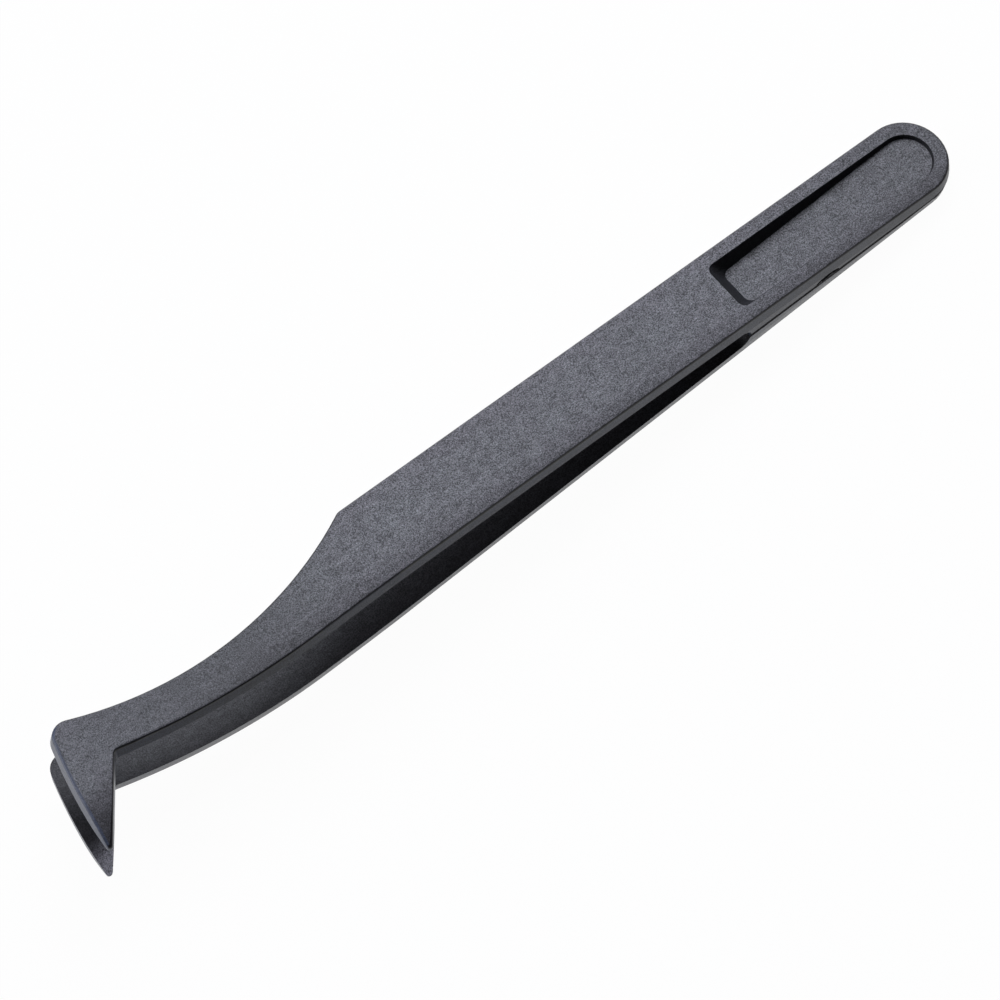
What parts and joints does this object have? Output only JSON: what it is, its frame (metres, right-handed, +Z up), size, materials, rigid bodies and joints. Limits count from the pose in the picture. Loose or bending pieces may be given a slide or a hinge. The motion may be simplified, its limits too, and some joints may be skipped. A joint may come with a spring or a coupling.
{
  "type": "anti-static plastic tweezers",
  "caption": "Light one-piece plastic tweezers with flat springy arms, a recessed tail and sharp tips bent sideways, for handling small electronic parts.",
  "frame": {"origin": "under the middle of the whole object, on the surface that it lies on", "axes": "+X along the handle from the tail to the tips, +Y towards the side that the tips are bent to, +Z up, from the arm that lies on the surface to the arm above it"},
  "size_m": [0.1213, 0.014, 0.0132],
  "materials": {
    "conductive_plastic": "matte, finely spark-textured, carbon-filled"
  },
  "bodies": {
    "root": {"tweezers": "conductive_plastic"}
  },
  "joints": []
}
